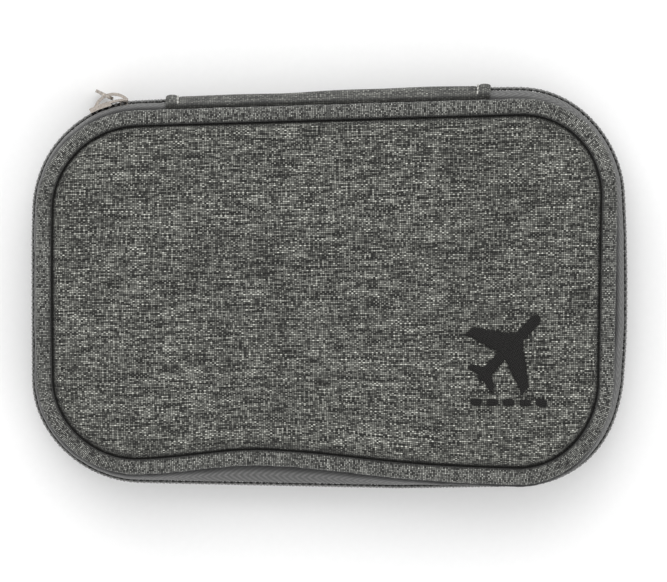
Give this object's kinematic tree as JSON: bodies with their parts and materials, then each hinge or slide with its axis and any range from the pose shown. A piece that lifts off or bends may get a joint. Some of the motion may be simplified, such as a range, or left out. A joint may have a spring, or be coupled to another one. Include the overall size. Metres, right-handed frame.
{
  "type": "passport holder wallet",
  "caption": "Padded zip-round travel wallet with bound covers, a fabric spine, and passport, ticket, card and coin pockets inside.",
  "frame": {"origin": "centre of the closed wallet's outline on the surface it lies on", "axes": "+X along the long side, +Y towards the fabric spine, +Z through the thickness, from the back cover to the front cover"},
  "size_m": [0.1588, 0.1074, 0.0254],
  "materials": {
    "cover_fabric": "heathered plain weave polyester, pale grey and charcoal yarns, slubbed along the length",
    "binding_fabric": "the cover's own woven cloth, cut in a strip and folded over the rim",
    "padding": "thin foam sheet, sealed in",
    "lining_fabric": "smooth fine-woven polyester lining",
    "pocket_fabric": "fine-woven polyester with a turned hem",
    "zip_tape": "herringbone polyester zip tape",
    "zip_coil": "nylon coil, slightly glossy",
    "nickel": "nickel-plated zinc, satin",
    "embroidery": "near-black satin stitch",
    "thread": "pale grey sewing thread"
  },
  "bodies": {
    "back": {"back_cover_panel": "cover_fabric", "back_cover_foam": "padding", "back_cover_lining": "lining_fabric", "back_binding": "binding_fabric", "back_zip_tape": "zip_tape", "back_zip_coil": "zip_coil", "zip_end_stops": "nickel", "coin_pocket_panel": "pocket_fabric", "coin_zip_tape": "zip_tape", "coin_zip_coil": "zip_coil", "card_slot_low": "pocket_fabric", "card_slot_middle": "pocket_fabric", "card_slot_high": "pocket_fabric"},
    "spine": {"spine_outer": "cover_fabric", "spine_lining": "lining_fabric", "spine_bar_tacks": "thread"},
    "front": {"front_cover_panel": "cover_fabric", "front_cover_foam": "padding", "front_cover_lining": "lining_fabric", "front_binding": "binding_fabric", "front_zip_tape": "zip_tape", "front_zip_tape_end": "zip_tape", "front_zip_coil": "zip_coil", "front_zip_coil_end": "zip_coil", "cover_motif": "embroidery", "ticket_pocket": "pocket_fabric", "passport_pocket": "pocket_fabric"},
    "slider": {"zip_slider": "nickel"},
    "pull": {"zip_pull": "nickel"},
    "coin_slider": {"coin_slider": "nickel"},
    "coin_pull": {"coin_pull": "nickel"}
  },
  "joints": [
    {"name": "spine_fold", "type": "hinge", "parent": "back", "child": "spine", "pos_m": [0, 0.0497, 0.004], "axis": [-1, 0, 0], "range_deg": [0, 90]},
    {"name": "cover_fold", "type": "hinge", "parent": "spine", "child": "front", "pos_m": [0, 0.0497, 0.021], "axis": [-1, 0, 0], "range_deg": [0, 90], "deforming": ["front_zip_tape_end", "front_zip_coil_end"]},
    {"name": "zip_run", "type": "hinge", "parent": "back", "child": "slider", "pos_m": [-0.05125, 0.0222, 0.0125], "axis": [0, 0, 1], "range_deg": [-4, 63]},
    {"name": "pull_swing", "type": "hinge", "parent": "slider", "child": "pull", "pos_m": [-0.05922, 0.05195, 0.0125], "axis": [0.9659, 0.2588, 0], "range_deg": [0, 120]},
    {"name": "coin_zip_run", "type": "slide", "parent": "back", "child": "coin_slider", "axis": [1, 0, 0], "range_m": [0, 0.096]},
    {"name": "coin_pull_flip", "type": "hinge", "parent": "coin_slider", "child": "coin_pull", "pos_m": [-0.048, 0.0314, 0.0066], "axis": [0, -1, 0], "range_deg": [0, 180]}
  ],
  "couplings": [
    {"joint": "cover_fold", "follows": "spine_fold", "ratio": 1}
  ]
}
